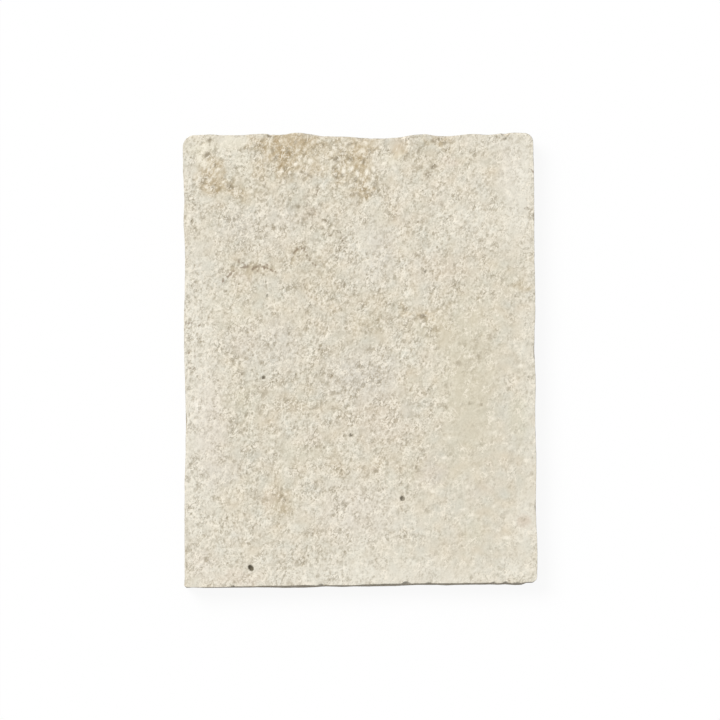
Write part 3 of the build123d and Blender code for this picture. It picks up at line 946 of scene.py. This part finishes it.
def limestone():
    """Cream limestone. Its colours come from the mesh. The nodes add the finest grain with its cracks, whose
    dark colour is partly painted shade, and the painted highlights on their lips, pores and pale flecks and
    streaks, the coarser grain of the sides and the bed, the brown veins, and the dirt and painted shade in
    the pits."""
    material = bpy.data.materials.new("weathered_limestone")
    material.use_nodes = True
    tree = material.node_tree
    shader = tree.nodes["Principled BSDF"]
    shader.inputs["Specular IOR Level"].default_value = SPECULAR
    coordinates = place(tree, "ShaderNodeTexCoord").outputs["Object"]
    leaning = place(tree, "ShaderNodeMapping", {
        "Vector": coordinates, "Rotation": (0, 0, GRAIN_TURN), "Scale": GRAIN_STRETCH,
    }, vector_type="TEXTURE").outputs[0]
    aside = place(tree, "ShaderNodeVectorMath", {0: leaning, 1: FLECK_SHIFT}).outputs[0]
    side = mark(tree, "side")
    contrast = mark(tree, "contrast")
    strength = plus(tree, contrast, side)

    fine = noise(tree, leaning, FINE_SCALE)
    speck = noise(tree, coordinates, SPECK_SCALE)
    dust = noise(tree, coordinates, DUST_SCALE, 1.0)
    side_grain = noise(tree, coordinates, SIDE_SCALE, 2.0)
    side_grain = plus(tree, side_grain, noise(tree, coordinates, SIDE_BLOTCH_SCALE, 1.0))
    shade = times(tree, plus(tree, times(tree, fine, GRAIN_WEIGHT), speck, GRAIN_WEIGHT), strength)
    shade = plus(tree, shade, dust, DUST_WEIGHT)
    shade = plus(tree, shade, side_grain, side)
    # Cracks, darkened partly as painted shade, with a painted highlight on the lip beside each
    crack_and_shade, painted_lip_highlight = strokes(tree, leaning, CRACK_SCALE, CRACK_WIDTH)
    streak, _ = strokes(tree, aside, STREAK_SCALE, STREAK_WIDTH)
    crack_and_shade = times(tree, crack_and_shade, contrast)
    pore = times(tree, cells(tree, leaning, PORE_SCALE), strength)
    fine_marks = {
        "dark grain": shade,
        "pale grain": shade,
        "crack_and_shade": crack_and_shade,
        "painted_lip_highlight": times(tree, painted_lip_highlight, contrast),
        "pore": pore,
        "fleck": times(tree, cells(tree, aside, FLECK_SCALE), strength),
        "streak": times(tree, streak, calculate(tree, "SUBTRACT", 1.0, side)),
    }

    colour = mark(tree, "stone", "Color")
    for name, value in fine_marks.items():
        full, cover, mark_colour = FINE_MARKS[name]
        share = remap(tree, value, 0.0, full, 0.0, cover, "LINEAR")
        colour = blend_colour(tree, share, colour, tone(*mark_colour))
    vein = plus(tree, mark(tree, "vein"), fine, VEIN_ROUGHNESS)
    vein = remap(tree, vein, *VEIN_LEVELS, 0.0, VEIN_COVER)
    colour = blend_colour(tree, vein, colour, tone(*VEIN_COLOUR))
    # Darken the pits: dirt, and painted shade of the hollow
    colour = blend_colour(tree, mark(tree, "pit_dirt_and_shade"), colour, tone(*PIT_DIRT_AND_SHADE_COLOUR))
    tree.links.new(colour, shader.inputs["Base Color"])

    shade = plus(tree, shade, pore, MARK_DEPTH)
    shade = plus(tree, shade, crack_and_shade, MARK_DEPTH)
    broken = times(tree, noise(tree, coordinates, BROKEN_SCALE, 5.0), side)
    relief = plus(tree, shade, broken, BROKEN_WEIGHT)
    tree.links.new(remap(tree, shade, -3.0, 3.0, *ROUGHNESS, "LINEAR"), shader.inputs["Roughness"])
    bump = place(tree, "ShaderNodeBump", {"Strength": 1.0, "Distance": GRAIN_BUMP, "Height": relief})
    tree.links.new(bump.outputs[0], shader.inputs["Normal"])
    return material


def seen_share(tree):
    """1 for rays that show a surface, the camera's and those of mirrors and glass, and 0 for light."""
    path = place(tree, "ShaderNodeLightPath")
    seen = calculate(tree, "MAXIMUM", path.outputs["Is Camera Ray"], path.outputs["Is Glossy Ray"])
    return calculate(tree, "MAXIMUM", seen, path.outputs["Is Transmission Ray"])


def make_floor():
    """A wide pale floor under the slab. It looks white, and shows the slab's shadow."""
    half = FLOOR_SIZE / 2
    mesh = bpy.data.meshes.new("floor")
    corners = [(-half, -half, 0.0), (half, -half, 0.0), (half, half, 0.0), (-half, half, 0.0)]
    mesh.from_pydata(corners, [], [(0, 1, 2, 3)])
    floor = bpy.data.objects.new("floor", mesh)
    bpy.context.scene.collection.objects.link(floor)
    material = bpy.data.materials.new("pale_floor")
    material.use_nodes = True
    tree = material.node_tree
    tree.nodes.remove(tree.nodes["Principled BSDF"])
    diffuse = place(tree, "ShaderNodeBsdfDiffuse", {"Color": (FLOOR_WHITE, FLOOR_WHITE, FLOOR_WHITE, 1.0)})
    strength = times(tree, seen_share(tree), 1.0 - FLOOR_WHITE)
    glow = place(tree, "ShaderNodeEmission", {"Strength": strength})
    both = place(tree, "ShaderNodeAddShader", {0: diffuse.outputs[0], 1: glow.outputs[0]})
    tree.links.new(both.outputs[0], tree.nodes["Material Output"].inputs["Surface"])
    mesh.materials.append(material)


def make_light():
    """A soft key from the far left, and an even pale sky that the camera sees as white."""
    level = math.cos(KEY_HEIGHT)
    toward = Vector((math.cos(KEY_BEARING) * level, math.sin(KEY_BEARING) * level, math.sin(KEY_HEIGHT)))
    lamp = bpy.data.lights.new("key", "SUN")
    lamp.energy = math.pi * KEY_SHARE / math.sin(KEY_HEIGHT)
    lamp.angle = KEY_SPREAD
    key = bpy.data.objects.new("key", lamp)
    key.rotation_euler = toward.to_track_quat("Z", "Y").to_euler()
    bpy.context.scene.collection.objects.link(key)
    world = bpy.data.worlds.new("sky")
    bpy.context.scene.world = world
    world.use_nodes = True
    tree = world.node_tree
    background = tree.nodes["Background"]
    background.inputs["Color"].default_value = (1, 1, 1, 1)
    strength = remap(tree, seen_share(tree), 0.0, 1.0, SKY_SHARE, 1.0, "LINEAR")
    tree.links.new(strength, background.inputs["Strength"])


def make_camera():
    """A camera almost straight above the slab, leaning a little to the near side, with a long lens. It stands
    so far off that the slab's width takes up its pixels of the picture."""
    distance = MM_PER_PIXEL * MM * PICTURE * LENS / SENSOR
    turned = Euler((TILT, 0, -TURN))
    across = (SLAB_CENTRE_PIXEL[0] - PICTURE / 2) * MM_PER_PIXEL * MM
    up = (PICTURE / 2 - SLAB_CENTRE_PIXEL[1]) * MM_PER_PIXEL * MM
    aim = Vector((0, 0, THICKNESS * MM))
    camera = bpy.data.cameras.new("camera")
    camera.lens = LENS
    camera.sensor_width = SENSOR
    camera.clip_end = 100
    view = bpy.data.objects.new("camera", camera)
    view.rotation_euler = turned
    view.location = aim + turned.to_matrix() @ Vector((-across, -up, distance))
    bpy.context.scene.collection.objects.link(view)
    bpy.context.scene.camera = view


bpy.context.scene.view_settings.view_transform = "Standard"
slab = make_slab()
slab.data.materials.append(limestone())
make_floor()
make_light()
make_camera()
